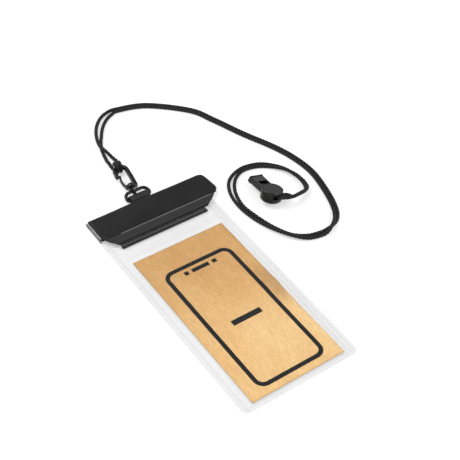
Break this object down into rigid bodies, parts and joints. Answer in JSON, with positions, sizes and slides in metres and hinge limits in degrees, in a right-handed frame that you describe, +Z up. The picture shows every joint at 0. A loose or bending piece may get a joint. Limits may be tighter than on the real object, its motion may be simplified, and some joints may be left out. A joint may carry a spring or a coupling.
{
  "type": "waterproof neck pouch",
  "caption": "Clear waterproof neck pouch for a phone, with a folded black closure, a printed card inside, and a black neck cord with a swivel hook and a whistle.",
  "frame": {"origin": "on the floor under the middle of the card", "axes": "+Y along the pouch towards its folded closure, +X across it, +Z up from the floor"},
  "size_m": [0.2174, 0.3567, 0.0167],
  "materials": {
    "clear_film": "clear, glossy",
    "kraft_card": "matt, dark print",
    "seal_plastic": "satin",
    "black_sheet": "satin",
    "hook_and_loop": "matt",
    "black_plastic": "glossy",
    "steel": "satin",
    "braid": "matt braid",
    "whistle_plastic": "satin gloss",
    "cork": "matt"
  },
  "bodies": {
    "pouch": {"back_film": "clear_film", "front_film": "clear_film", "insert_card": "kraft_card", "seal_groove_rail": "seal_plastic", "seal_rib_rail": "seal_plastic", "closure_flap": "black_sheet", "loop_tape": "hook_and_loop", "hook_tape": "hook_and_loop", "ring_tab": "black_sheet", "d_ring": "black_plastic", "swivel_eye": "black_plastic", "neck_cord_1": "braid", "neck_cord_2": "braid", "cord_turn": "braid", "whistle_body": "whistle_plastic", "whistle_cap": "whistle_plastic", "whistle_pea": "cork"},
    "hook": {"snap_hook": "black_plastic", "gate_pin": "steel", "cord_hitch": "braid"},
    "gate": {"hook_gate": "black_plastic"}
  },
  "joints": [
    {"name": "hook_swivel", "type": "hinge", "parent": "pouch", "child": "hook", "pos_m": [0.0007, 0.16193, 0.00474], "axis": [0.1339, 0.9905, 0.0314], "continuous": true},
    {"name": "gate_hinge", "type": "hinge", "parent": "hook", "child": "gate", "pos_m": [-0.00295, 0.16252, 0.00474], "axis": [0.0042, 0.0311, -0.9995], "range_deg": [0, 19], "stiffness_Nm_per_rad": 0.01}
  ]
}
